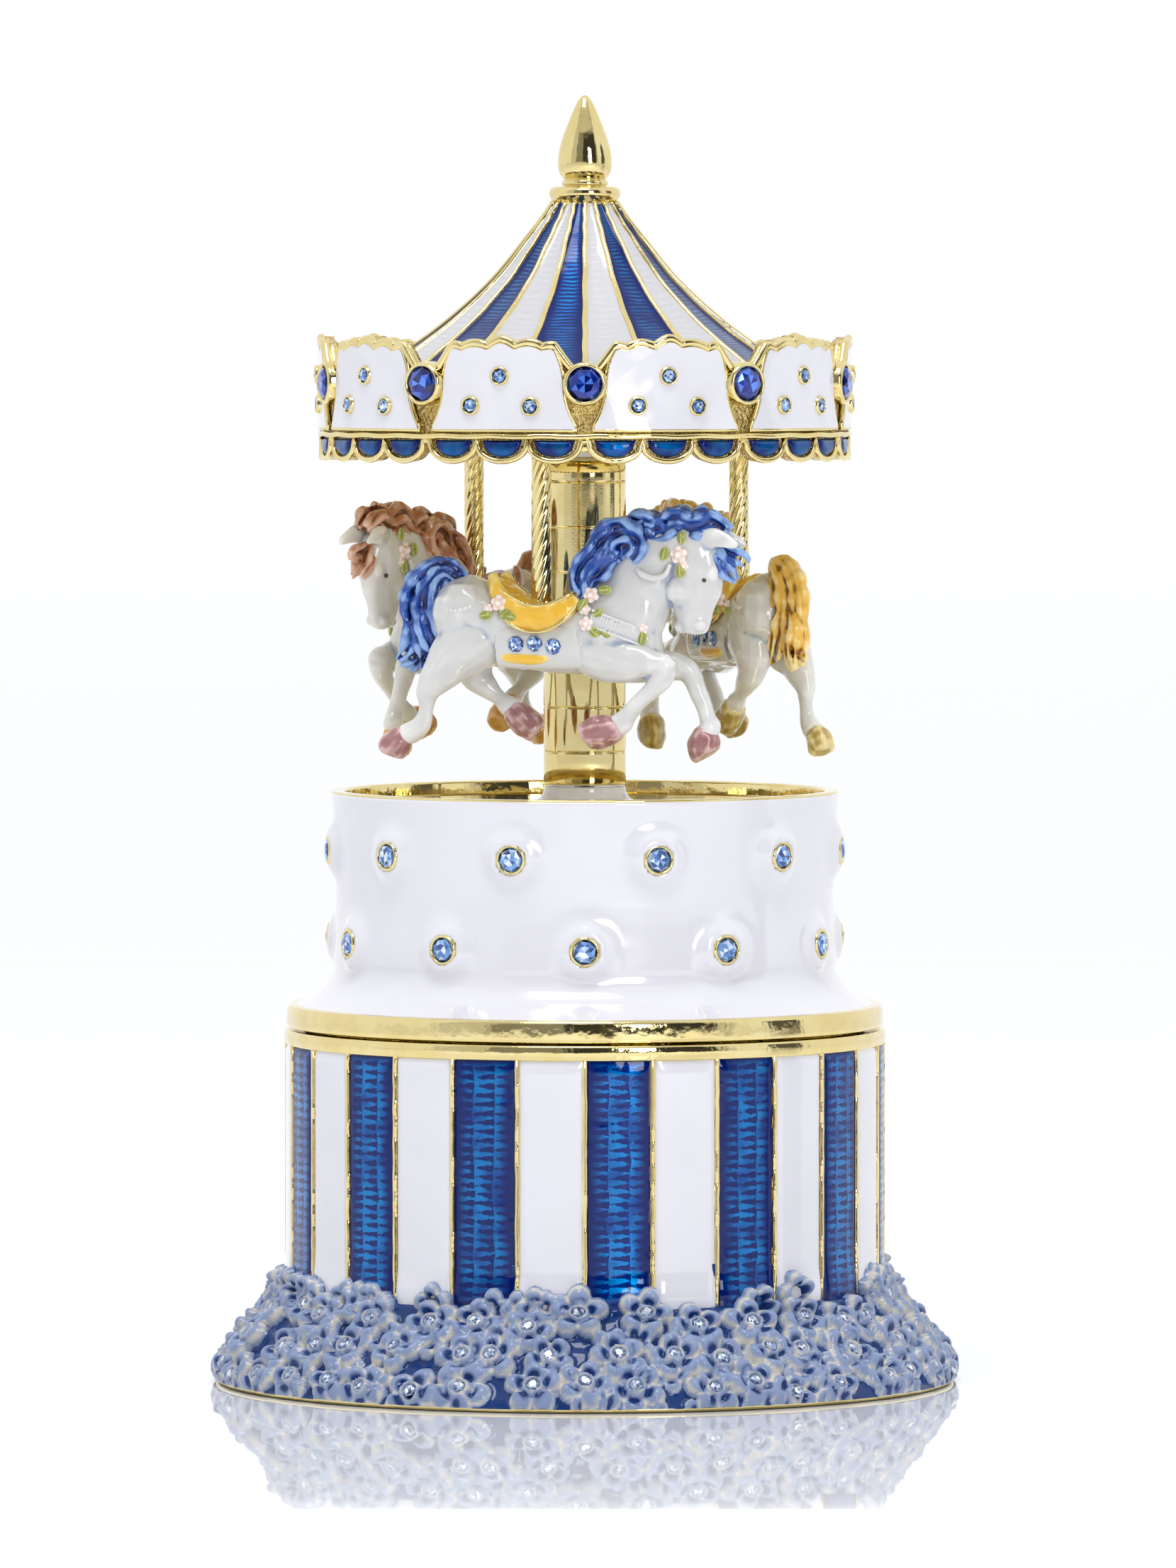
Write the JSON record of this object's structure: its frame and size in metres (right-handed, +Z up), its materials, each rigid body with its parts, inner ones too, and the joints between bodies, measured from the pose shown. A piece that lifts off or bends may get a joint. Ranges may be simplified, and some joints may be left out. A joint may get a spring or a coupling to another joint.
{
  "type": "carousel music box",
  "caption": "Enamelled, gold-plated carousel music box: horses hang under a striped canopy on a column, over a tier that winds the movement in the striped drum, edged with flowers.",
  "frame": {"origin": "centre of the flower border's foot, on the surface that the box stands on", "axes": "+Z up along the column; -Y towards the viewer of the front; +X to that viewer's right"},
  "size_m": [0.106, 0.106, 0.1814],
  "materials": {
    "gold_plate": "polished pale gold plate on zinc alloy",
    "blue_enamel": "translucent blue enamel over an engraved ground",
    "white_enamel": "glossy opaque white enamel",
    "flower_enamel": "grey-blue enamel petals with gold edges",
    "pale_sapphire_crystal": "cut crystal, pale sapphire",
    "royal_sapphire_crystal": "cut crystal, royal blue",
    "pearl_enamel": "pearl white enamel",
    "blue_hair_enamel": "blue enamel mane and tail",
    "amber_hair_enamel": "amber enamel mane and tail",
    "copper_hair_enamel": "copper-brown enamel mane and tail",
    "ochre_enamel": "ochre enamel with gold edges",
    "white_nylon": "white nylon",
    "movement_brass": "brushed brass",
    "movement_casting": "grey cast metal",
    "polished_steel": "polished steel",
    "comb_steel": "ground tempered steel",
    "blued_spring_steel": "blued spring steel"
  },
  "bodies": {
    "base": {"drum_casting": "gold_plate", "blue_stripe_enamel": "blue_enamel", "white_stripe_enamel": "white_enamel", "flower_border": "flower_enamel", "flowers": "flower_enamel", "flower_crystals": "pale_sapphire_crystal", "base_plate": "movement_brass", "base_plate_screws": "polished_steel", "turntable_washer": "white_nylon", "movement_bedplate": "movement_casting", "movement_pillars": "movement_brass", "movement_screws": "polished_steel", "bridge_posts": "movement_brass", "movement_bridge": "movement_brass", "clutch_spring": "polished_steel", "front_bearing_plate": "movement_brass", "rear_bearing_post": "movement_brass", "governor_bracket": "movement_brass", "comb_seat": "movement_casting", "comb": "comb_steel", "comb_screws": "polished_steel"},
    "tier": {"tier_casting": "gold_plate", "tier_enamel": "white_enamel", "tier_crystal_settings": "gold_plate", "tier_crystals": "pale_sapphire_crystal", "tier_floor": "gold_plate", "column_foot_bush": "white_nylon", "drive_spider": "movement_brass", "spider_screws": "polished_steel", "winding_sleeve": "polished_steel"},
    "carousel": {"spindle": "polished_steel", "spring_barrel": "movement_brass", "mainspring": "blued_spring_steel", "column": "gold_plate", "column_hubs": "white_nylon", "canopy_ceiling": "gold_plate", "crown_ring": "gold_plate", "crown_enamel": "white_enamel", "scallop_enamel": "blue_enamel", "crown_gem_settings": "gold_plate", "crown_gems": "royal_sapphire_crystal", "crown_crystal_settings": "gold_plate", "crown_crystals": "pale_sapphire_crystal", "roof_casting": "gold_plate", "blue_roof_enamel": "blue_enamel", "white_roof_enamel": "white_enamel", "finial": "gold_plate", "poles": "gold_plate", "horse_1": "pearl_enamel", "horse_2": "pearl_enamel", "horse_3": "pearl_enamel", "horse_1_hair": "blue_hair_enamel", "horse_2_hair": "amber_hair_enamel", "horse_3_hair": "copper_hair_enamel", "saddles": "ochre_enamel", "saddle_crystals": "pale_sapphire_crystal"},
    "cylinder": {"pinned_cylinder": "movement_brass", "cylinder_pins": "polished_steel"},
    "governor_wheel": {"governor_wheel": "movement_brass"},
    "governor_worm": {"governor_worm": "polished_steel"}
  },
  "joints": [
    {"name": "tier_wind", "type": "hinge", "parent": "base", "child": "tier", "pos_m": [0, 0, 0.0498], "axis": [0, 0, -1], "range_deg": [0, 2160]},
    {"name": "carousel_turn", "type": "hinge", "parent": "base", "child": "carousel", "pos_m": [0, 0, 0.0084], "axis": [0, 0, 1], "continuous": true},
    {"name": "cylinder_turn", "type": "hinge", "parent": "base", "child": "cylinder", "pos_m": [0.0232, 0, 0.017], "axis": [1, 0, 0], "continuous": true},
    {"name": "governor_wheel_turn", "type": "hinge", "parent": "base", "child": "governor_wheel", "pos_m": [0.02155, 0.0108, 0.017], "axis": [1, 0, 0], "continuous": true},
    {"name": "governor_worm_turn", "type": "hinge", "parent": "base", "child": "governor_worm", "pos_m": [0.02155, 0.01835, 0.017], "axis": [0, 0, 1], "continuous": true}
  ],
  "couplings": [
    {"joint": "cylinder_turn", "follows": "carousel_turn", "ratio": -5},
    {"joint": "governor_wheel_turn", "follows": "carousel_turn", "ratio": 15},
    {"joint": "governor_worm_turn", "follows": "carousel_turn", "ratio": -180}
  ]
}
